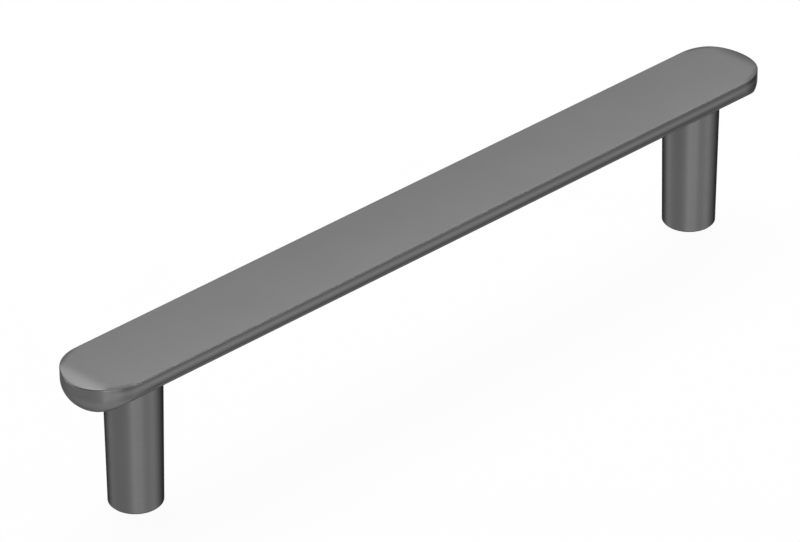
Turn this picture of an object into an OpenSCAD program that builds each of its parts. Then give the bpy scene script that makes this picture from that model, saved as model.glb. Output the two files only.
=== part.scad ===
// Bar handle for a cabinet door or drawer, cast in one piece.
// A slim bar with full-round ends stands on two tapered posts, and a screw
// comes up through the door into a tapped hole in the foot of each post.
// The bar is where three plain forms cross: a body with full-round ends and a
// rolled lower edge, a round underside and a slightly domed top that dips at
// both tips.
// Frame: X runs along the bar, Z points away from the door, and the origin is
// on the mounting plane, midway between the posts.

/* [Bar] */
// Distance between the two screw holes, from centre to centre
hole_spacing = 160; // [96:32:320]
// Length that the bar reaches past the centre of each post
bar_overhang = 16.2; // [13:0.1:30]
// Width of the bar
bar_w = 19; // [17:0.5:24]
// Thickness of the bar along its middle line
bar_t = 7.4; // [6:0.1:8.5]
// Height of the bar's side wall, above the round underside
side_wall_h = 3.3; // [2.5:0.1:4]
// Distance from the mounting plane to the highest line of the bar
handle_h = 35; // [28:0.5:45]

/* [Edges] */
// Rise of the domed top from its side edges to its middle line
dome_rise = 0.15; // [0.05:0.05:0.4]
// Length of the dip of the top at each tip
tip_dip_len = 3.8; // [2:0.1:6]
// Drop of the top at each tip
tip_dip_drop = 0.55; // [0.3:0.05:0.8]
// Radius of the rolled lower edge, which shows best at the tips
roll_r = 5.6; // [3:0.1:6]

/* [Posts] */
// Diameter of the foot of a post
foot_d = 11.5; // [9:0.1:12.5]
// Draft of a post, which widens towards the bar
post_draft = 0.8; // [0.2:0.1:1.5]
// Chamfer round the edge of a foot
foot_chamfer = 0.3; // [0.1:0.1:0.8]

/* [Screw holes] */
// Diameter of the tapped hole's core, for an M4 screw
core_d = 3.3; // [2.5:0.1:4.2]
// Depth of the full-width core
core_depth = 14; // [8:0.5:18]
// Diameter of the countersink at the mouth of a hole
mouth_d = 4.5; // [4.3:0.1:6]

/* [Hidden] */
$fn = 128;

end_r = bar_w / 2;                        // the ends are full rounds
bar_len = hole_spacing + 2 * bar_overhang;
end_x = bar_len / 2 - end_r;              // centre of the round at each end
under_z = handle_h - bar_t;               // lowest line of the bar

// Arc of the underside, through its lowest line and the feet of both side walls
under_sag = bar_t - side_wall_h;
under_r = (end_r * end_r + under_sag * under_sag) / (2 * under_sag);

// Arc of the domed top, through its highest line and both side edges
dome_r = (end_r * end_r + dome_rise * dome_rise) / (2 * dome_rise);

// The roll's circle passes a little below the bar's lowest line, so that the
// roll and the underside cross at an edge and never only touch
roll_below = 0.7;
roll_z = under_z - roll_below;

// Arc of the dip, from its start on the top to the end of the bar. It starts at
// a slight slope, so that it crosses the dome at an edge and never only touches
dip_start_slope = 2.5;
dip_chord = sqrt(tip_dip_len * tip_dip_len + tip_dip_drop * tip_dip_drop);
dip_r = dip_chord / 2 / sin(atan(tip_dip_drop / tip_dip_len) - dip_start_slope);
dip_x = bar_len / 2 - tip_dip_len - dip_r * sin(dip_start_slope);
dip_z = handle_h - dip_r * cos(dip_start_slope);

// The posts run up to the foot of the side walls, which is inside the bar
post_h = handle_h - side_wall_h;
post_top_d = foot_d + 2 * post_h * tan(post_draft);

drill_tip_angle = 59;                     // half of the drill point's angle
mouth_angle = 45;
over = 1;                                 // how far a cut runs past a face

// Half of the rolled body's section, from its middle plane to its side wall
module rolled_half_section() {
    translate([0, roll_z])
        difference() {
            square([end_r, handle_h + over - roll_z]);
            translate([end_r - roll_r, roll_r])
                difference() {
                    translate([0, -roll_r - over])
                        square(roll_r + over);
                    circle(r = roll_r);
                }
        }
}

// Body with full-round ends, a flat side wall and a rolled lower edge all round
module rolled_body() {
    translate([-end_x, 0, 0])
        rotate([90, 0, 90])
            linear_extrude(2 * end_x) {
                rolled_half_section();
                mirror([1, 0])
                    rolled_half_section();
            }
    for (side = [-1, 1])
        translate([side * end_x, 0, 0])
            rotate([0, 0, side * -90])
                rotate_extrude(angle = 180)
                    rolled_half_section();
}

// Round bar of the given radius along X, at the given height
module lengthwise_round(radius, z) {
    translate([0, 0, z])
        rotate([0, 90, 0])
            cylinder(h = bar_len + 2 * over, r = radius, center = true);
}

// What the dip takes off the top at both tips
module tip_dips() {
    for (side = [0, 1])
        mirror([side, 0, 0])
            difference() {
                translate([dip_x, -end_r - over, under_z])
                    cube([bar_len / 2 + over - dip_x, bar_w + 2 * over, bar_t + 2 * over]);
                translate([dip_x, 0, dip_z])
                    rotate([90, 0, 0])
                        cylinder(h = bar_w + 4 * over, r = dip_r, center = true);
            }
}

module bar() {
    difference() {
        intersection() {
            rolled_body();
            lengthwise_round(under_r, under_z + under_r);
            lengthwise_round(dome_r, handle_h - dome_r, $fn = 720);
        }
        tip_dips();
    }
}

module post() {
    chamfer_top_d = foot_d + 2 * foot_chamfer * tan(post_draft);
    cylinder(h = foot_chamfer, d1 = foot_d - 2 * foot_chamfer, d2 = chamfer_top_d);
    translate([0, 0, foot_chamfer])
        cylinder(h = post_h - foot_chamfer, d1 = chamfer_top_d, d2 = post_top_d);
}

// Blind tapped hole: its core, its drill point and its countersunk mouth
module screw_hole() {
    mouth_depth = (mouth_d - core_d) / 2 / tan(mouth_angle);
    translate([0, 0, -over])
        cylinder(h = core_depth + over, d = core_d);
    translate([0, 0, core_depth])
        cylinder(h = core_d / 2 / tan(drill_tip_angle), d1 = core_d, d2 = 0);
    translate([0, 0, -over])
        cylinder(h = mouth_depth + over, d1 = mouth_d + 2 * over * tan(mouth_angle), d2 = core_d);
}

module handle() {
    color("dimgray")
        difference() {
            union() {
                bar();
                for (side = [-1, 1])
                    translate([side * hole_spacing / 2, 0, 0])
                        post();
            }
            for (side = [-1, 1])
                translate([side * hole_spacing / 2, 0, 0])
                    screw_hole();
        }
}

handle();
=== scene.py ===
"""Bar handle for a cabinet door: a slim bar with full-round ends on two tapered posts.

The shown handle is grown by Geometry Nodes from the same sizes as the CAD part:
a section is swept round the bar's outline, the round underside and the domed, dipped
top push it into shape, and the posts and the tapped holes are joined on and cut out.
"""
import math

import bpy
from mathutils import Matrix, Vector


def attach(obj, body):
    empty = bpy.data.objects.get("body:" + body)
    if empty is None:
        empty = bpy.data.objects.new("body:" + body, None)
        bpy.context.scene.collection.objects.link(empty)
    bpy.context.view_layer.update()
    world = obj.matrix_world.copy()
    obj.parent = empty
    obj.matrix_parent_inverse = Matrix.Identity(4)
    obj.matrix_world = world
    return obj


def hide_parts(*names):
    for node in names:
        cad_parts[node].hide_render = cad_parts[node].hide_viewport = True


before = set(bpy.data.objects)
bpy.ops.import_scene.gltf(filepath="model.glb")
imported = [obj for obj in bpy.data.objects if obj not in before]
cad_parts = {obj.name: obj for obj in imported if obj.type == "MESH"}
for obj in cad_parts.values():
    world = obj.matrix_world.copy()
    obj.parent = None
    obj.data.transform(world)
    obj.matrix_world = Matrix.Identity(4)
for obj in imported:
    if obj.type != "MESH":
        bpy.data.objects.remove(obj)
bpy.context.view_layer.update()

MM = 0.001

# Sizes in millimetres, the same as the CAD part's
HOLE_SPACING = 160.0
BAR_OVERHANG = 16.2
BAR_W = 19.0
BAR_T = 7.4
SIDE_WALL_H = 3.3
HANDLE_H = 35.0
DOME_RISE = 0.15
TIP_DIP_LEN = 3.8
TIP_DIP_DROP = 0.55
DIP_START_SLOPE = math.radians(2.5)
ROLL_R = 5.6
ROLL_BELOW = 0.7
FOOT_D = 11.5
POST_DRAFT = math.radians(0.8)
FOOT_CHAMFER = 0.3
CORE_D = 3.3
CORE_DEPTH = 14.0
MOUTH_D = 4.5
DRILL_TIP_ANGLE = math.radians(59.0)

END_R = BAR_W / 2
BAR_LEN = HOLE_SPACING + 2 * BAR_OVERHANG
END_X = BAR_LEN / 2 - END_R
UNDER_Z = HANDLE_H - BAR_T
UNDER_SAG = BAR_T - SIDE_WALL_H
UNDER_R = (END_R**2 + UNDER_SAG**2) / (2 * UNDER_SAG)
DOME_R = (END_R**2 + DOME_RISE**2) / (2 * DOME_RISE)
ROLL_Z = UNDER_Z - ROLL_BELOW
DIP_CHORD = math.hypot(TIP_DIP_LEN, TIP_DIP_DROP)
DIP_R = DIP_CHORD / 2 / math.sin(math.atan2(TIP_DIP_DROP, TIP_DIP_LEN) - DIP_START_SLOPE)
DIP_X = BAR_LEN / 2 - TIP_DIP_LEN - DIP_R * math.sin(DIP_START_SLOPE)

# What the casting has beyond the CAD's plain forms, in millimetres
EDGE_BREAK = 0.18       # rounding of the top edge
CREASE_BLEND = 1.1      # how far the underside and the roll run into each other
DIP_BLEND = 1.8         # how softly the dip of a tip starts
ROOT_FILLET = 0.45      # fillet where a post grows out of the bar
FOOT_BLEND = 0.12       # how softly the chamfer of a foot starts
THREAD_PITCH = 0.7      # M4 coarse thread
THREAD_DEPTH = 0.33
THREAD_LEN = 11.0
THREAD_START = 0.3      # share of a turn, so that no crest just grazes the countersink

# How the pieces are put together, in millimetres
POST_TOP_DROP = 1.6     # from the foot of the side walls down to a post's hidden top
INSIDE_X = 0.004        # how far the shown bar stays inside the CAD's box, along the bar
INSIDE_Z = 0.001        # the same for its top
OUTLINE_STEP = 4.0      # longest step along the straight sides
SECTION_STEP = 0.4      # longest step round the section
SINK_FOOT = 2.3         # the wall takes up what the top sinks between these two depths
SINK_HEAD = 0.3
FOOT_ROWS = 0.7         # height of the close rows at the foot of a post
ROOT_ROWS = 2.7         # height of the close rows at its root
MOUTH_OUTSIDE = 0.5     # how far outside the foot the countersink's cone starts
SEAM_WELD = 0.004       # points nearer than this are welded along the bar's middle line
CUT_WELD = 0.0005       # the same after the parts are joined and drilled
POST_H = HANDLE_H - SIDE_WALL_H - POST_TOP_DROP

AROUND_BAR = 256        # points of the circle that makes both end rounds
AROUND_POST = 96
AROUND_HOLE = 48
ROLL_POINTS = 44
BREAK_POINTS = 7
HOLE_ROWS = 168
FILLET_STOP = 0.93      # share of the quarter round where the root fillet stops
FLANK_START = 0.1       # where a thread's flank starts, in pitches off its crest
FLANK_END = 0.44        # and where it ends
CRISP_ANGLE = math.radians(32)


# Node trees
def add(tree, kind, settings, inputs):
    """Adds a node with its settings, and fills its inputs with values or with other nodes' outputs."""
    node = tree.nodes.new(kind)
    for name, value in settings.items():
        setattr(node, name, value)
    for key, source in inputs.items():
        if isinstance(source, bpy.types.Node):
            source = source.outputs[0]
        if isinstance(source, bpy.types.NodeSocket):
            tree.links.new(source, node.inputs[key])
        else:
            node.inputs[key].default_value = source
    return node


def new_tree(name, inputs):
    """Starts a geometry tree with named inputs and one geometry output."""
    tree = bpy.data.node_groups.new(name, "GeometryNodeTree")
    for label, kind in inputs.items():
        tree.interface.new_socket(label, in_out="INPUT", socket_type="NodeSocket" + kind)
    tree.interface.new_socket("Geometry", in_out="OUTPUT", socket_type="NodeSocketGeometry")
    return tree, tree.nodes.new("NodeGroupInput").outputs


def input_names(tree):
    """Names of a tree's inputs, in their order."""
    return [item.name for item in tree.interface.items_tree if item.in_out == "INPUT"]


def arc_height(tree, radius, off_middle):
    """Height of a circle over its own centre, at a distance off its middle."""
    radius_sq = add(tree, "ShaderNodeMath", {"operation": "MULTIPLY"}, {0: radius, 1: radius})
    off_sq = add(tree, "ShaderNodeMath", {"operation": "MULTIPLY"}, {0: off_middle, 1: off_middle})
    rest = add(tree, "ShaderNodeMath", {"operation": "SUBTRACT"}, {0: radius_sq, 1: off_sq})
    return add(tree, "ShaderNodeMath", {"operation": "SQRT"}, {0: rest})


def underside_height(tree, given, off_middle):
    """Height of the bar's round underside, at a distance off the bar's middle plane."""
    fall = arc_height(tree, given["Underside radius"], off_middle)
    axis = add(
        tree,
        "ShaderNodeMath",
        {"operation": "ADD"},
        {0: given["Underside height"], 1: given["Underside radius"]},
    )
    return add(tree, "ShaderNodeMath", {"operation": "SUBTRACT"}, {0: axis, 1: fall})


def even_steps_tree():
    """Cuts the long segments of a curve into even steps and leaves its fine arcs as they are."""
    tree, given = new_tree("even_steps", {"Curve": "Geometry", "Step": "Float"})
    here = add(tree, "GeometryNodeInputPosition", {}, {})
    own = add(tree, "GeometryNodeInputIndex", {}, {})
    following = add(tree, "GeometryNodeOffsetPointInCurve", {}, {"Point Index": own, "Offset": 1})
    there = add(
        tree,
        "GeometryNodeFieldAtIndex",
        {"data_type": "FLOAT_VECTOR", "domain": "POINT"},
        {"Value": here, "Index": following.outputs["Point Index"]},
    )
    run = add(tree, "ShaderNodeVectorMath", {"operation": "DISTANCE"}, {0: here, 1: there})
    share = add(
        tree, "ShaderNodeMath", {"operation": "DIVIDE"}, {0: run.outputs["Value"], 1: given["Step"]}
    )
    cuts = add(tree, "FunctionNodeFloatToInt", {"rounding_mode": "FLOOR"}, {0: share})
    cut = add(tree, "GeometryNodeSubdivideCurve", {}, {"Curve": given["Curve"], "Cuts": cuts})
    add(tree, "NodeGroupOutput", {}, {0: cut})
    return tree


def bar_tree(even_steps):
    """Sweeps the rolled section round the outline, then pushes it to the underside and the top."""
    sizes = (
        "End centre",
        "End radius",
        "Top",
        "Roll radius",
        "Roll height",
        "Edge break",
        "Underside radius",
        "Underside height",
        "Crease blend",
        "Dome radius",
        "Dip radius",
        "Dip centre",
        "Dip blend",
    )
    tree, given = new_tree("bar", dict.fromkeys(sizes, "Float"))
    # Outline: a circle that is parted at its middle and drawn out along X
    circle = add(
        tree,
        "GeometryNodeCurvePrimitiveCircle",
        {},
        {"Resolution": AROUND_BAR, "Radius": given["End radius"]},
    )
    turned = add(
        tree,
        "GeometryNodeTransform",
        {},
        {"Geometry": circle, "Rotation": (0, 0, math.pi / AROUND_BAR)},
    )
    place = add(tree, "GeometryNodeInputPosition", {}, {})
    apart = add(tree, "ShaderNodeSeparateXYZ", {}, {0: place})
    side = add(tree, "ShaderNodeMath", {"operation": "SIGN"}, {0: apart.outputs["X"]})
    shift = add(tree, "ShaderNodeMath", {"operation": "MULTIPLY"}, {0: side, 1: given["End centre"]})
    drawn = add(tree, "ShaderNodeCombineXYZ", {}, {"X": shift})
    stadium = add(tree, "GeometryNodeSetPosition", {}, {"Geometry": turned, "Offset": drawn})
    outline = add(
        tree,
        "GeometryNodeGroup",
        {"node_tree": even_steps},
        {"Curve": stadium, "Step": OUTLINE_STEP * MM},
    )
    upright = add(tree, "GeometryNodeSetCurveNormal", {"mode": "Z_UP"}, {"Curve": outline})

    # Section: over the top, round the edge break, down the wall, round the roll, back below.
    # Its X is the way out from the outline and its Y points down
    inner = add(
        tree, "ShaderNodeMath", {"operation": "MULTIPLY"}, {0: given["End radius"], 1: -1.0}
    )
    up = add(tree, "ShaderNodeMath", {"operation": "MULTIPLY"}, {0: given["Top"], 1: -1.0})
    low = add(tree, "ShaderNodeMath", {"operation": "MULTIPLY"}, {0: given["Roll height"], 1: -1.0})
    corners = add(
        tree,
        "GeometryNodeCurvePrimitiveQuadrilateral",
        {"mode": "POINTS"},
        {
            "Point 1": add(tree, "ShaderNodeCombineXYZ", {}, {"X": inner, "Y": up}),
            "Point 2": add(tree, "ShaderNodeCombineXYZ", {}, {"Y": up}),
            "Point 3": add(tree, "ShaderNodeCombineXYZ", {}, {"Y": low}),
            "Point 4": add(tree, "ShaderNodeCombineXYZ", {}, {"X": inner, "Y": low}),
        },
    )
    opened = add(tree, "GeometryNodeSetSplineCyclic", {}, {"Geometry": corners, "Cyclic": False})
    corner = add(tree, "GeometryNodeInputIndex", {}, {})
    is_top = add(
        tree, "FunctionNodeCompare", {"data_type": "INT", "operation": "EQUAL"}, {2: corner, 3: 1}
    )
    radius = add(
        tree,
        "GeometryNodeSwitch",
        {"input_type": "FLOAT"},
        {"Switch": is_top, "False": given["Roll radius"], "True": given["Edge break"]},
    )
    count = add(
        tree,
        "GeometryNodeSwitch",
        {"input_type": "INT"},
        {"Switch": is_top, "False": ROLL_POINTS, "True": BREAK_POINTS},
    )
    rounded = add(
        tree,
        "GeometryNodeFilletCurve",
        {"mode": "POLY"},
        {"Curve": opened, "Radius": radius, "Count": count},
    )
    section = add(
        tree,
        "GeometryNodeGroup",
        {"node_tree": even_steps},
        {"Curve": rounded, "Step": SECTION_STEP * MM},
    )
    swept = add(tree, "GeometryNodeCurveToMesh", {}, {"Curve": upright, "Profile Curve": section})

    # Underside: a round bar along X, run softly into the roll
    at = add(tree, "ShaderNodeSeparateXYZ", {}, {0: add(tree, "GeometryNodeInputPosition", {}, {})})
    lowered = add(
        tree,
        "ShaderNodeMath",
        {"operation": "SMOOTH_MAX"},
        {
            0: at.outputs["Z"],
            1: underside_height(tree, given, at.outputs["Y"]),
            2: given["Crease blend"],
        },
    )

    # Top: the dome, and the arc of the dip at both tips, as heights below the section's top
    reach = add(tree, "ShaderNodeMath", {"operation": "ABSOLUTE"}, {0: at.outputs["X"]})
    beyond = add(
        tree, "ShaderNodeMath", {"operation": "SUBTRACT"}, {0: reach, 1: given["Dip centre"]}
    )
    past = add(
        tree,
        "ShaderNodeMath",
        {"operation": "SMOOTH_MAX"},
        {0: beyond, 1: 0.0, 2: given["Dip blend"]},
    )
    falls = []
    for size, off_middle in (("Dome radius", at.outputs["Y"]), ("Dip radius", past)):
        rise = arc_height(tree, given[size], off_middle)
        falls.append(
            add(tree, "ShaderNodeMath", {"operation": "SUBTRACT"}, {0: rise, 1: given[size]})
        )
    crown = add(tree, "ShaderNodeMath", {"operation": "ADD"}, {0: falls[0], 1: falls[1]})
    # The wall takes up what the top sinks, and all above the wall follows the top as it is
    sink_foot = add(
        tree, "ShaderNodeMath", {"operation": "SUBTRACT"}, {0: given["Top"], 1: SINK_FOOT * MM}
    )
    sink_head = add(
        tree, "ShaderNodeMath", {"operation": "SUBTRACT"}, {0: given["Top"], 1: SINK_HEAD * MM}
    )
    follow = add(
        tree,
        "ShaderNodeMapRange",
        {"clamp": True},
        {"Value": at.outputs["Z"], "From Min": sink_foot, "From Max": sink_head},
    )
    sunk = add(tree, "ShaderNodeMath", {"operation": "MULTIPLY"}, {0: crown, 1: follow})
    height = add(tree, "ShaderNodeMath", {"operation": "ADD"}, {0: lowered, 1: sunk})
    moved = add(
        tree,
        "ShaderNodeCombineXYZ",
        {},
        {"X": at.outputs["X"], "Y": at.outputs["Y"], "Z": height},
    )
    shaped = add(tree, "GeometryNodeSetPosition", {}, {"Geometry": swept, "Position": moved})
    # The section's two ends meet along the middle line of the top and of the underside
    closed = add(
        tree, "GeometryNodeMergeByDistance", {}, {"Geometry": shaped, "Distance": SEAM_WELD * MM}
    )
    add(tree, "NodeGroupOutput", {}, {0: closed})
    return tree


def post_tree():
    """One post on the origin: drafted wall, broken foot edge and a fillet up to the round underside."""
    sizes = (
        "Height",
        "Foot radius",
        "Draft",
        "Foot chamfer",
        "Root fillet",
        "Underside radius",
        "Underside height",
    )
    tree, given = new_tree("post", dict.fromkeys(sizes, "Float"))
    blank = add(
        tree,
        "GeometryNodeMeshCylinder",
        {"fill_type": "TRIANGLE_FAN"},
        {
            "Vertices": AROUND_POST,
            "Side Segments": 72,
            "Fill Segments": 1,
            "Radius": 1.0,
            "Depth": 1.0,
        },
    )
    at = add(tree, "ShaderNodeSeparateXYZ", {}, {0: add(tree, "GeometryNodeInputPosition", {}, {})})
    # Rows of the wall lie close at the foot and at the root, where the shape changes. The
    # blank is one high, so each stretch of it is drawn out to its own height
    below_root = add(
        tree, "ShaderNodeMath", {"operation": "SUBTRACT"}, {0: given["Height"], 1: ROOT_ROWS * MM}
    )
    middle = add(
        tree, "ShaderNodeMath", {"operation": "SUBTRACT"}, {0: below_root, 1: FOOT_ROWS * MM}
    )
    stretches = (
        (-0.5, -0.3, FOOT_ROWS * MM),
        (-0.3, -0.2, middle),
        (-0.2, 0.5, ROOT_ROWS * MM),
    )
    z = 0.0
    for start, end, rise in stretches:
        part = add(
            tree,
            "ShaderNodeMapRange",
            {"clamp": True},
            {"Value": at.outputs["Z"], "From Min": start, "From Max": end, "To Max": rise},
        )
        z = add(tree, "ShaderNodeMath", {"operation": "ADD"}, {0: part, 1: z})
    slope = add(tree, "ShaderNodeMath", {"operation": "TANGENT"}, {0: given["Draft"]})
    wall = add(
        tree,
        "ShaderNodeMath",
        {"operation": "MULTIPLY_ADD"},
        {0: z, 1: slope, 2: given["Foot radius"]},
    )
    bevel_foot = add(
        tree,
        "ShaderNodeMath",
        {"operation": "SUBTRACT"},
        {0: given["Foot radius"], 1: given["Foot chamfer"]},
    )
    bevel = add(tree, "ShaderNodeMath", {"operation": "ADD"}, {0: bevel_foot, 1: z})
    broken = add(
        tree, "ShaderNodeMath", {"operation": "SMOOTH_MIN"}, {0: wall, 1: bevel, 2: FOOT_BLEND * MM}
    )
    # Gap from a point of the wall up to the underside of the bar
    y = add(tree, "ShaderNodeMath", {"operation": "MULTIPLY"}, {0: at.outputs["Y"], 1: wall})
    underside = underside_height(tree, given, y)
    gap = add(tree, "ShaderNodeMath", {"operation": "SUBTRACT"}, {0: underside, 1: z})
    # Quarter round of the fillet, stopped just before it would lie flat on the underside
    near = add(
        tree,
        "ShaderNodeMapRange",
        {"clamp": True},
        {
            "Value": gap,
            "From Min": given["Root fillet"],
            "From Max": 0.0,
            "To Min": 0.0,
            "To Max": FILLET_STOP,
        },
    )
    quarter = arc_height(tree, 1.0, near)
    flare = add(tree, "ShaderNodeMath", {"operation": "SUBTRACT"}, {0: 1.0, 1: quarter})
    radius = add(
        tree,
        "ShaderNodeMath",
        {"operation": "MULTIPLY_ADD"},
        {0: flare, 1: given["Root fillet"], 2: broken},
    )
    spot = {"Z": z}
    for axis in ("X", "Y"):
        spot[axis] = add(
            tree, "ShaderNodeMath", {"operation": "MULTIPLY"}, {0: at.outputs[axis], 1: radius}
        )
    moved = add(tree, "ShaderNodeCombineXYZ", {}, spot)
    shaped = add(tree, "GeometryNodeSetPosition", {}, {"Geometry": blank, "Position": moved})
    add(tree, "NodeGroupOutput", {}, {0: shaped})
    return tree


def tap_tree():
    """What the drill, the countersink and the M4 tap take out of a foot."""
    sizes = (
        "Core radius",
        "Core depth",
        "Tip length",
        "Mouth radius",
        "Thread pitch",
        "Thread depth",
        "Thread length",
        "Thread start",
    )
    tree, given = new_tree("tap", dict.fromkeys(sizes, "Float"))
    drill = add(
        tree,
        "GeometryNodeMeshCylinder",
        {"fill_type": "TRIANGLE_FAN"},
        {
            "Vertices": AROUND_HOLE,
            "Side Segments": HOLE_ROWS,
            "Fill Segments": 1,
            "Radius": given["Core radius"],
            "Depth": given["Core depth"],
        },
    )
    half = add(tree, "ShaderNodeMath", {"operation": "MULTIPLY"}, {0: given["Core depth"], 1: 0.5})
    raised = add(
        tree,
        "GeometryNodeTransform",
        {},
        {"Geometry": drill, "Translation": add(tree, "ShaderNodeCombineXYZ", {}, {"Z": half})},
    )
    # Thread: the groove climbs one pitch in each turn and runs out at its end
    at = add(tree, "ShaderNodeSeparateXYZ", {}, {0: add(tree, "GeometryNodeInputPosition", {}, {})})
    angle = add(
        tree, "ShaderNodeMath", {"operation": "ARCTAN2"}, {0: at.outputs["Y"], 1: at.outputs["X"]}
    )
    turn = add(
        tree,
        "ShaderNodeMath",
        {"operation": "MULTIPLY_ADD"},
        {0: angle, 1: -1 / math.tau, 2: given["Thread start"]},
    )
    climb = add(
        tree,
        "ShaderNodeMath",
        {"operation": "DIVIDE"},
        {0: at.outputs["Z"], 1: given["Thread pitch"]},
    )
    phase = add(tree, "ShaderNodeMath", {"operation": "ADD"}, {0: turn, 1: climb})
    vee = add(tree, "ShaderNodeMath", {"operation": "PINGPONG"}, {0: phase, 1: 0.5})
    groove = add(
        tree,
        "ShaderNodeMapRange",
        {"clamp": True},
        {"Value": vee, "From Min": FLANK_START, "From Max": FLANK_END, "To Min": 0.0, "To Max": 1.0},
    )
    stop = add(
        tree,
        "ShaderNodeMath",
        {"operation": "ADD"},
        {0: given["Thread length"], 1: given["Thread pitch"]},
    )
    runout = add(
        tree,
        "ShaderNodeMapRange",
        {"clamp": True},
        {
            "Value": at.outputs["Z"],
            "From Min": given["Thread length"],
            "From Max": stop,
            "To Min": 1.0,
            "To Max": 0.0,
        },
    )
    bite = add(tree, "ShaderNodeMath", {"operation": "MULTIPLY"}, {0: groove, 1: runout})
    cut = add(
        tree, "ShaderNodeMath", {"operation": "MULTIPLY"}, {0: bite, 1: given["Thread depth"]}
    )
    level = add(tree, "ShaderNodeCombineXYZ", {}, {"X": at.outputs["X"], "Y": at.outputs["Y"]})
    out = add(tree, "ShaderNodeVectorMath", {"operation": "NORMALIZE"}, {0: level})
    push = add(tree, "ShaderNodeVectorMath", {"operation": "SCALE"}, {"Vector": out, "Scale": cut})
    threaded = add(tree, "GeometryNodeSetPosition", {}, {"Geometry": raised, "Offset": push})
    # The drill's point, and a 45 degree countersink that starts a little outside the foot
    wide = add(
        tree,
        "ShaderNodeMath",
        {"operation": "ADD"},
        {0: given["Mouth radius"], 1: MOUTH_OUTSIDE * MM},
    )
    tip_place = add(tree, "ShaderNodeCombineXYZ", {}, {"Z": given["Core depth"]})
    cones = []
    for radius, depth, place in (
        (given["Core radius"], given["Tip length"], tip_place),
        (wide, wide, (0, 0, -MOUTH_OUTSIDE * MM)),
    ):
        cone = add(
            tree,
            "GeometryNodeMeshCone",
            {},
            {
                "Vertices": AROUND_HOLE,
                "Side Segments": 1,
                "Radius Bottom": radius,
                "Radius Top": 0.0,
                "Depth": depth,
            },
        )
        cones.append(
            add(
                tree,
                "GeometryNodeTransform",
                {},
                {"Geometry": cone.outputs["Mesh"], "Translation": place},
            )
        )
    joined = add(
        tree,
        "GeometryNodeMeshBoolean",
        {"operation": "UNION", "solver": "MANIFOLD"},
        {"Mesh 2": threaded},
    )
    for cone in cones:
        tree.links.new(cone.outputs[0], joined.inputs["Mesh 2"])
    add(tree, "NodeGroupOutput", {}, {0: joined})
    return tree


def handle_tree(bar, post, tap):
    """Joins the bar and the two posts, cuts the tapped holes and gives the whole its coat."""
    parts = (bar, post, tap)
    sizes = {name: "Float" for part in parts for name in input_names(part)}
    tree, given = new_tree("handle", {"Hole spacing": "Float", **sizes, "Coat": "Material"})
    made = {}
    for part in parts:
        made[part.name] = add(
            tree,
            "GeometryNodeGroup",
            {"node_tree": part},
            {name: given[name] for name in input_names(part)},
        )
    first = add(
        tree, "ShaderNodeMath", {"operation": "MULTIPLY"}, {0: given["Hole spacing"], 1: -0.5}
    )
    feet = add(
        tree,
        "GeometryNodeMeshLine",
        {},
        {
            "Count": 2,
            "Start Location": add(tree, "ShaderNodeCombineXYZ", {}, {"X": first}),
            "Offset": add(tree, "ShaderNodeCombineXYZ", {}, {"X": given["Hole spacing"]}),
        },
    )
    real = {}
    for name in ("post", "tap"):
        pair = add(
            tree, "GeometryNodeInstanceOnPoints", {}, {"Points": feet, "Instance": made[name]}
        )
        real[name] = add(tree, "GeometryNodeRealizeInstances", {}, {"Geometry": pair})
    body = add(
        tree,
        "GeometryNodeMeshBoolean",
        {"operation": "UNION", "solver": "MANIFOLD"},
        {"Mesh 2": made["bar"]},
    )
    tree.links.new(real["post"].outputs[0], body.inputs["Mesh 2"])
    drilled = add(
        tree,
        "GeometryNodeMeshBoolean",
        {"operation": "DIFFERENCE", "solver": "MANIFOLD"},
        {"Mesh 1": body, "Mesh 2": real["tap"]},
    )
    clean = add(
        tree, "GeometryNodeMergeByDistance", {}, {"Geometry": drilled, "Distance": CUT_WELD * MM}
    )
    # Smooth all over, but for the edges that turn by more than the crisp angle
    smooth = add(tree, "GeometryNodeSetShadeSmooth", {"domain": "FACE"}, {"Geometry": clean})
    bend = add(tree, "GeometryNodeInputMeshEdgeAngle", {}, {})
    hard = add(
        tree,
        "FunctionNodeCompare",
        {"data_type": "FLOAT", "operation": "GREATER_THAN"},
        {0: bend.outputs["Unsigned Angle"], 1: CRISP_ANGLE},
    )
    crisp = add(
        tree,
        "GeometryNodeSetShadeSmooth",
        {"domain": "EDGE"},
        {"Geometry": smooth, "Selection": hard, "Shade Smooth": False},
    )
    whole = add(tree, "GeometryNodeRealizeInstances", {}, {"Geometry": crisp})
    coated = add(
        tree, "GeometryNodeSetMaterial", {}, {"Geometry": whole, "Material": given["Coat"]}
    )
    add(tree, "NodeGroupOutput", {}, {0: coated})
    return tree


def grow(name, tree, values):
    """Runs a tree with its sizes set and returns the result as a plain mesh object."""
    seed = bpy.data.objects.new(name + "_seed", bpy.data.meshes.new(name + "_seed"))
    bpy.context.scene.collection.objects.link(seed)
    modifier = seed.modifiers.new(name, "NODES")
    modifier.node_group = tree
    for item in tree.interface.items_tree:
        if item.in_out == "INPUT":
            modifier[item.identifier] = values[item.name]
    graph = bpy.context.evaluated_depsgraph_get()
    graph.update()
    mesh = bpy.data.meshes.new_from_object(seed.evaluated_get(graph), depsgraph=graph)
    bpy.data.objects.remove(seed)
    mesh.name = name
    piece = bpy.data.objects.new(name, mesh)
    bpy.context.scene.collection.objects.link(piece)
    return piece


# Finish
def linear(code):
    """An sRGB hex colour as linear red, green, blue and full alpha."""
    shares = [int(code[start : start + 2], 16) / 255 for start in (0, 2, 4)]
    return [s / 12.92 if s <= 0.04045 else ((s + 0.055) / 1.055) ** 2.4 for s in shares] + [1.0]


# Painted light and shade of a side wall of the bar: height over the door in millimetres, and colour
SIDE_PAINTED_LIGHT_AND_SHADE = [
    (31.6, "787878"),
    (32.25, "434343"),
    (33.4, "686868"),
    (34.35, "4f4f4f"),
]

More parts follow.
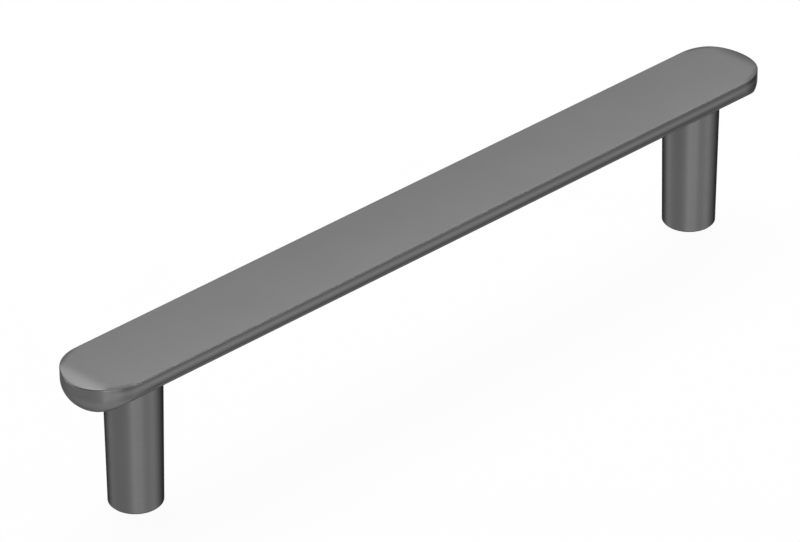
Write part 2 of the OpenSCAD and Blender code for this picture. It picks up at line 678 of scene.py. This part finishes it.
# Sizes of the finish in millimetres
CLOUD = 12.0            # from one cloudy patch of the lacquer to the next
SWELL = 3.0             # from crest to crest of the lacquer's slow swell
HAIRLINE = 0.35         # drawn this far apart so that they show, and really 0.05
BAR_LINE_LEN = 9.0      # length of a hairline along the bar
POST_LINE_LEN = 4.0     # length of a hairline round a post
BARE_R = 2.32           # bare zinc lies nearer than this to a screw's axis
BARE_TOP = 16.0         # and lower than this


def graphite_lacquer():
    """Satin graphite lacquer on a belt-brushed zinc die casting.

    To the eye it is a dark neutral grey with a soft sheen that fades towards the outline,
    since fine flake in the lacquer acts as dark metal. The brushing below it runs along the
    bar and round the posts, so lamps show on the posts as upright bands. The coat is a
    little uneven, thinner on the crisp edges, and cut away by the tap in the feet. On the side
    walls, the roll below them and the rims of the ends, light and shade are painted into the
    colour, by height and place on the handle, and were tuned to look as in the photograph.
    """
    coat = bpy.data.materials.new("satin_graphite_lacquer_on_zinc")
    coat.use_nodes = True
    tree = coat.node_tree
    shader = tree.nodes["Principled BSDF"]
    shader.inputs["Metallic"].default_value = 1.0
    place = add(tree, "ShaderNodeTexCoord", {}, {}).outputs["Object"]
    surface = add(tree, "ShaderNodeNewGeometry", {}, {})
    facing = add(tree, "ShaderNodeSeparateXYZ", {}, {0: surface.outputs["Normal"]})
    at = add(tree, "ShaderNodeSeparateXYZ", {}, {0: place})
    height = at.outputs["Z"]
    reach = add(tree, "ShaderNodeMath", {"operation": "ABSOLUTE"}, {0: at.outputs["X"]})
    width = add(tree, "ShaderNodeMath", {"operation": "ABSOLUTE"}, {0: at.outputs["Y"]})
    endwise = add(tree, "ShaderNodeMath", {"operation": "ABSOLUTE"}, {0: facing.outputs["X"]})

    # Distance off the line from one end's centre to the other's, which is the outline's middle
    past_end = add(tree, "ShaderNodeMath", {"operation": "SUBTRACT"}, {0: reach, 1: END_X * MM})
    into_round = add(tree, "ShaderNodeMath", {"operation": "MAXIMUM"}, {0: past_end, 1: 0.0})
    off_line = add(tree, "ShaderNodeCombineXYZ", {}, {"X": into_round, "Y": at.outputs["Y"]})
    from_line = add(tree, "ShaderNodeVectorMath", {"operation": "LENGTH"}, {0: off_line})
    off_centre = from_line.outputs["Value"]

    # Shares that change over a band: what is measured, where the band starts and ends, and
    # the share before and after it. Where the facing is measured, 1 is level and 0 upright
    bands = {
        "crisp": (surface.outputs["Pointiness"], 0.53, 0.62, 0.0, 0.1),
        "off_top": (facing.outputs["Z"], 0.97, 0.998, 1.0, 0.0),
        "past_post": (reach, 87.0 * MM, 93.0 * MM, 0.0, 1.0),
        "up_wall": (height, SIDE_PAINTED_LIGHT_AND_SHADE[0][0] * MM, SIDE_PAINTED_LIGHT_AND_SHADE[-1][0] * MM, 0.0, 1.0),
        "at_side": (width, 7.4 * MM, 8.9 * MM, 0.0, 1.0),
        "over_roll": (height, 30.6 * MM, 31.0 * MM, 0.0, 1.0),
        "before_tip": (reach, 82.0 * MM, 88.0 * MM, 1.0, 0.2),
        "upper_wall": (height, 33.0 * MM, 33.6 * MM, 0.0, 1.0),
        "outer": (off_centre, 6.4 * MM, 7.4 * MM, 0.0, 1.0),
        "under_line": (height, 32.3 * MM, 31.0 * MM, 0.0, 1.0),
        "at_end": (reach, 84.0 * MM, 89.0 * MM, 0.0, 1.0),
        "off_upright": (facing.outputs["Z"], 0.05, 0.25, 0.0, 1.0),
        "off_level": (facing.outputs["Z"], 0.95, 0.85, 0.0, 1.0),
        "brink": (off_centre, 8.2 * MM, 9.1 * MM, 0.0, 1.0),
        "flank": (width, 6.0 * MM, 6.9 * MM, 0.0, 1.0),
        "turning": (into_round, 0.0, 2.0 * MM, 0.0, 1.0),
        "upward": (facing.outputs["Z"], 0.2, 0.8, 0.0, 0.85),
        "on_bar": (height, 27.2 * MM, 28.0 * MM, 0.0, 1.0),
        "head_on": (endwise, 0.7, 0.98, 0.0, 1.0),
    }
    share = {}
    for name, (measured, start, end, before, after) in bands.items():
        share[name] = add(
            tree,
            "ShaderNodeMapRange",
            {"clamp": True},
            {
                "Value": measured,
                "From Min": start,
                "From Max": end,
                "To Min": before,
                "To Max": after,
            },
        )

    # Bare zinc in the tapped holes
    off_x = add(
        tree, "ShaderNodeMath", {"operation": "SUBTRACT"}, {0: reach, 1: HOLE_SPACING / 2 * MM}
    )
    flat = add(tree, "ShaderNodeCombineXYZ", {}, {"X": off_x, "Y": at.outputs["Y"]})
    from_axis = add(tree, "ShaderNodeVectorMath", {"operation": "LENGTH"}, {0: flat})
    for name, measured, limit in (
        ("near_axis", from_axis.outputs["Value"], BARE_R * MM),
        ("in_foot", height, BARE_TOP * MM),
    ):
        share[name] = add(
            tree, "ShaderNodeMath", {"operation": "LESS_THAN"}, {0: measured, 1: limit}
        )

    # Places where two or more shares meet. The painted dark line of shade low on the wall
    # fades before the tips, its upper part runs on round them, and the painted shade on the rim
    # of an end reaches a little on to the top where the round meets the long side
    meetings = (
        ("wall_paint_reach", "MAXIMUM", "before_tip", "upper_wall"),
        ("steep_side", "MULTIPLY", "off_top", "at_side"),
        ("wall", "MULTIPLY", "steep_side", "over_roll"),
        ("painted_wall_light_and_shade", "MULTIPLY", "wall", "wall_paint_reach"),
        ("painted_roll_light", "MULTIPLY", "outer", "under_line"),
        ("end_edge", "MULTIPLY", "at_end", "off_upright"),
        ("on_edge", "MULTIPLY", "end_edge", "off_level"),
        ("flank_brink", "MULTIPLY", "brink", "flank"),
        ("turning_top", "MULTIPLY", "turning", "upward"),
        ("on_top", "MULTIPLY", "flank_brink", "turning_top"),
        ("painted_rim_shade", "MAXIMUM", "on_edge", "on_top"),
        ("bare", "MULTIPLY", "near_axis", "in_foot"),
        ("bar_end", "MULTIPLY", "head_on", "on_bar"),
    )
    for name, operation, one, other in meetings:
        share[name] = add(
            tree, "ShaderNodeMath", {"operation": operation}, {0: share[one], 1: share[other]}
        )

    # Painted light and shade of the straight side walls: dark below the top edge and along a
    # line low on the wall, lighter between and below
    wall_light_and_shade_ramp = add(tree, "ShaderNodeValToRGB", {}, {0: share["up_wall"]})
    foot, head = SIDE_PAINTED_LIGHT_AND_SHADE[0][0], SIDE_PAINTED_LIGHT_AND_SHADE[-1][0]
    steps = wall_light_and_shade_ramp.color_ramp.elements
    for level, code in SIDE_PAINTED_LIGHT_AND_SHADE[1:-1]:
        steps.new((level - foot) / (head - foot)).color = linear(code)
    steps[0].color = linear(SIDE_PAINTED_LIGHT_AND_SHADE[0][1])
    steps[-1].color = linear(SIDE_PAINTED_LIGHT_AND_SHADE[-1][1])

    # Colour: the cloudy lacquer, then what lies over it, each where its share is
    cloud = add(
        tree,
        "ShaderNodeTexNoise",
        {},
        {"Vector": place, "Scale": 1 / (CLOUD * MM), "Detail": 2.0, "Roughness": 0.5},
    )
    layers = (
        (cloud.outputs[0], linear("606060")),        # lighter clouds of the lacquer
        (share["crisp"], linear("7d7d7e")),          # thinner coat on the crisp edges
        # painted light: the roll below the wall's dark line is made lighter
        (share["painted_roll_light"], linear("6c6c6c")),        # lighter roll below the wall's dark line
        # painted light and shade of the side walls, from the ramp above
        (share["painted_wall_light_and_shade"], wall_light_and_shade_ramp.outputs[0]),
        # painted shade: the rims of both ends are made darker
        (share["painted_rim_shade"], linear("474747")),         # darker rim of both ends
        (share["bare"], linear("b9babc")),           # bare zinc
    )
    colour = linear("5c5c5c")
    for amount, over in layers:
        mixed = add(
            tree, "ShaderNodeMix", {"data_type": "RGBA"}, {0: amount, 6: colour, 7: over}
        )
        colour = mixed.outputs[2]
    tree.links.new(colour, shader.inputs["Base Color"])

    # The walls' sheen dies away towards the outline, less on the tips, and least on the top
    wall_glance = add(
        tree,
        "ShaderNodeMix",
        {"data_type": "RGBA"},
        {0: share["past_post"], 6: linear("545454"), 7: linear("a4a4a4")},
    )
    glance = add(
        tree,
        "ShaderNodeMix",
        {"data_type": "RGBA"},
        {0: share["off_top"], 6: linear("c4c4c4"), 7: wall_glance.outputs[2]},
    )
    tree.links.new(glance.outputs[2], shader.inputs["Specular Tint"])

    # Hairlines of the belt run along the bar, and round the posts, which stand below it
    line_scales = []
    for lengths in (
        (BAR_LINE_LEN, HAIRLINE, HAIRLINE),
        (POST_LINE_LEN, POST_LINE_LEN, HAIRLINE),
    ):
        scale = tuple(1 / (length * MM) for length in lengths)
        line_scales.append(
            add(tree, "ShaderNodeVectorMath", {"operation": "MULTIPLY"}, {0: place, 1: scale})
        )
    along, round_post = line_scales
    grain_place = add(
        tree,
        "ShaderNodeMix",
        {"data_type": "VECTOR"},
        {0: share["on_bar"], 4: round_post, 5: along},
    )
    hairline = add(
        tree,
        "ShaderNodeTexNoise",
        {},
        {"Vector": grain_place.outputs[1], "Scale": 1.0, "Detail": 2.0, "Roughness": 0.6},
    )
    satin = add(
        tree,
        "ShaderNodeMapRange",
        {},
        {"Value": hairline.outputs[0], "To Min": 0.34, "To Max": 0.42},
    )
    rough = add(
        tree, "ShaderNodeMix", {"data_type": "FLOAT"}, {0: share["bare"], 2: satin, 3: 0.28}
    )
    tree.links.new(rough.outputs[0], shader.inputs["Roughness"])

    # Relief: the hairlines, and the slow swell of the lacquer
    swell = add(
        tree,
        "ShaderNodeTexNoise",
        {},
        {"Vector": place, "Scale": 1 / (SWELL * MM), "Detail": 1.0, "Roughness": 0.4},
    )
    relief = add(
        tree,
        "ShaderNodeMath",
        {"operation": "MULTIPLY_ADD"},
        {0: swell.outputs[0], 1: 2.0, 2: hairline.outputs[0]},
    )
    bump = add(
        tree, "ShaderNodeBump", {}, {"Height": relief, "Strength": 0.25, "Distance": 0.004 * MM}
    )
    tree.links.new(bump.outputs[0], shader.inputs["Normal"])

    # The sheen spreads across the brushing: up and down on a post, and over the bar's width.
    # It grows round towards the ends of the bar, where the brushing meets the surface head on
    stretch = add(
        tree, "ShaderNodeMapRange", {}, {"Value": share["bar_end"], "To Min": 0.5, "To Max": 0.0}
    )
    tree.links.new(stretch.outputs[0], shader.inputs["Anisotropic"])
    over_bar = add(
        tree,
        "ShaderNodeVectorMath",
        {"operation": "CROSS_PRODUCT"},
        {0: (1, 0, 0), 1: surface.outputs["Normal"]},
    )
    spread = add(
        tree,
        "ShaderNodeMix",
        {"data_type": "VECTOR"},
        {0: share["on_bar"], 4: (0, 0, 1), 5: over_bar},
    )
    tree.links.new(spread.outputs[1], shader.inputs["Tangent"])
    return coat


# Studio
# Soft lamps far enough away to light both ends of the bar alike: name, azimuth and
# elevation in degrees, distance, width and height in metres, and power in watts
LAMPS = [
    ("front_strip", -46, 3, 1.8, 0.2, 0.2, 15.2),
    ("front_right_strip", -22, 3, 1.8, 0.2, 0.2, 12.2),
    ("left_strip", -136, 3, 1.8, 0.2, 0.2, 20.2),
    ("right_strip", 28, 3, 1.8, 0.2, 0.2, 13.0),
    ("right_fill", 12, 3, 1.8, 0.2, 0.2, 2.6),
    ("rear_high_box", 135, 62, 1.8, 1.0, 1.0, 12.7),
    ("rear_left_high_box", 170, 62, 1.8, 1.0, 1.0, 6.2),
    ("rear_right_box", 110, 38, 1.8, 0.9, 0.7, 4.4),
    ("rear_low_box", 145, 20, 1.8, 0.9, 0.5, 1.0),
]
LAMP_AIM = Vector((0, 0, 0.02))

# Camera: angles in degrees, lengths in metres, lens in millimetres
CAMERA_AZIMUTH = -43.6767
CAMERA_ELEVATION = 31.0317
CAMERA_ROLL = -0.1946
CAMERA_AIM = Vector((0, 0, 0.016))
CAMERA_DISTANCE = 1.44105
CAMERA_LEFT = 0.004384
CAMERA_UP = 0.003792
LENS = 312.3

FLOOR_REACH = 3.0       # metres from the handle to the floor's edge
FLOOR_DROP = 0.02       # millimetres from the feet down to the floor
SEEN_FLOOR_GLOW = 0.95
AIR_LIGHT = 0.2         # strength of the air as a light, and 1 where it is seen


def seen_or_mirrored(tree):
    """One where the camera, a mirror or a glass shows the thing, none where it only lights."""
    path = add(tree, "ShaderNodeLightPath", {}, {})
    seen = path.outputs["Is Camera Ray"]
    for ray in ("Is Glossy Ray", "Is Transmission Ray"):
        seen = add(
            tree, "ShaderNodeMath", {"operation": "MAXIMUM"}, {0: seen, 1: path.outputs[ray]}
        )
    return seen


def white_floor():
    """Plain pale floor, which shows white to the camera and keeps the handle's shadow."""
    mesh = bpy.data.meshes.new("studio_floor")
    corners = [
        (across * FLOOR_REACH, deep * FLOOR_REACH, -FLOOR_DROP * MM)
        for across, deep in ((-1, -1), (1, -1), (1, 1), (-1, 1))
    ]
    mesh.from_pydata(corners, [], [(0, 1, 2, 3)])
    floor = bpy.data.objects.new("studio_floor", mesh)
    bpy.context.scene.collection.objects.link(floor)
    paper = bpy.data.materials.new("matt_white_paper")
    paper.use_nodes = True
    tree = paper.node_tree
    out = tree.nodes["Material Output"]
    tree.nodes.remove(tree.nodes["Principled BSDF"])
    matt = add(tree, "ShaderNodeBsdfDiffuse", {}, {"Color": linear("b0b0b0")})
    shade = add(tree, "ShaderNodeBsdfDiffuse", {}, {"Color": linear("404040")})
    glow = add(
        tree, "ShaderNodeEmission", {}, {"Color": (1, 1, 1, 1), "Strength": SEEN_FLOOR_GLOW}
    )
    shown = add(tree, "ShaderNodeAddShader", {}, {0: shade, 1: glow})
    mixed = add(tree, "ShaderNodeMixShader", {}, {0: seen_or_mirrored(tree), 1: matt, 2: shown})
    tree.links.new(mixed.outputs[0], out.inputs["Surface"])
    mesh.materials.append(paper)


def white_air():
    """Plain air round the studio, white where it is seen or mirrored."""
    world = bpy.data.worlds.new("studio_air")
    bpy.context.scene.world = world
    world.use_nodes = True
    tree = world.node_tree
    level = add(
        tree,
        "ShaderNodeMapRange",
        {},
        {"Value": seen_or_mirrored(tree), "To Min": AIR_LIGHT, "To Max": 1.0},
    )
    tree.links.new(level.outputs[0], tree.nodes["Background"].inputs["Strength"])
    tree.nodes["Background"].inputs["Color"].default_value = (1, 1, 1, 1)


def direction(azimuth, elevation):
    """Unit vector from the handle towards an azimuth and an elevation, both in radians."""
    return Vector(
        (
            math.sin(azimuth) * math.cos(elevation),
            -math.cos(azimuth) * math.cos(elevation),
            math.sin(elevation),
        )
    )


def soft_lamp(name, azimuth, elevation, distance, width, height, watts):
    """A soft rectangular lamp, aimed at the middle of the handle."""
    way = direction(math.radians(azimuth), math.radians(elevation))
    lamp = bpy.data.lights.new(name, "AREA")
    lamp.shape = "RECTANGLE"
    lamp.size = width
    lamp.size_y = height
    lamp.energy = watts
    holder = bpy.data.objects.new(name, lamp)
    holder.location = LAMP_AIM + way * distance
    holder.rotation_mode = "QUATERNION"
    holder.rotation_quaternion = (-way).to_track_quat("-Z", "Y")
    holder.visible_camera = False
    bpy.context.scene.collection.objects.link(holder)


def photo_camera():
    """Long lens at the photograph's angle, placed from the handle's known sizes."""
    azimuth = math.radians(CAMERA_AZIMUTH)
    roll = math.radians(CAMERA_ROLL)
    back = direction(azimuth, math.radians(CAMERA_ELEVATION))
    level = Vector((math.cos(azimuth), math.sin(azimuth), 0))
    upward = back.cross(level)
    right = level * math.cos(roll) + upward * math.sin(roll)
    up = upward * math.cos(roll) - level * math.sin(roll)
    lens = bpy.data.cameras.new("photo_lens")
    lens.lens = LENS
    lens.sensor_width = 36.0
    lens.sensor_fit = "HORIZONTAL"
    lens.clip_start = 0.05
    lens.clip_end = 20.0
    camera = bpy.data.objects.new("photo_camera", lens)
    bpy.context.scene.collection.objects.link(camera)
    camera.rotation_mode = "QUATERNION"
    camera.rotation_quaternion = Matrix((right, up, back)).transposed().to_quaternion()
    camera.location = CAMERA_AIM + back * CAMERA_DISTANCE - right * CAMERA_LEFT + up * CAMERA_UP
    bpy.context.scene.camera = camera


# The handle
photo_camera()
white_floor()
white_air()
for lamp in LAMPS:
    soft_lamp(*lamp)

handle = grow(
    "cast_handle",
    handle_tree(bar_tree(even_steps_tree()), post_tree(), tap_tree()),
    {
        "Hole spacing": HOLE_SPACING * MM,
        "End centre": (END_X - INSIDE_X) * MM,
        "End radius": END_R * MM,
        "Top": (HANDLE_H - INSIDE_Z) * MM,
        "Roll radius": ROLL_R * MM,
        "Roll height": ROLL_Z * MM,
        "Edge break": EDGE_BREAK * MM,
        "Underside radius": UNDER_R * MM,
        "Underside height": UNDER_Z * MM,
        "Crease blend": CREASE_BLEND * MM,
        "Dome radius": DOME_R * MM,
        "Dip radius": DIP_R * MM,
        "Dip centre": DIP_X * MM,
        "Dip blend": DIP_BLEND * MM,
        "Height": POST_H * MM,
        "Foot radius": FOOT_D / 2 * MM,
        "Draft": POST_DRAFT,
        "Foot chamfer": FOOT_CHAMFER * MM,
        "Root fillet": ROOT_FILLET * MM,
        "Core radius": CORE_D / 2 * MM,
        "Core depth": CORE_DEPTH * MM,
        "Tip length": CORE_D / 2 / math.tan(DRILL_TIP_ANGLE) * MM,
        "Mouth radius": MOUTH_D / 2 * MM,
        "Thread pitch": THREAD_PITCH * MM,
        "Thread depth": THREAD_DEPTH * MM,
        "Thread length": THREAD_LEN * MM,
        "Thread start": THREAD_START,
        "Coat": graphite_lacquer(),
    },
)
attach(handle, "root")
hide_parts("handle")

bpy.context.scene.view_settings.view_transform = "Standard"
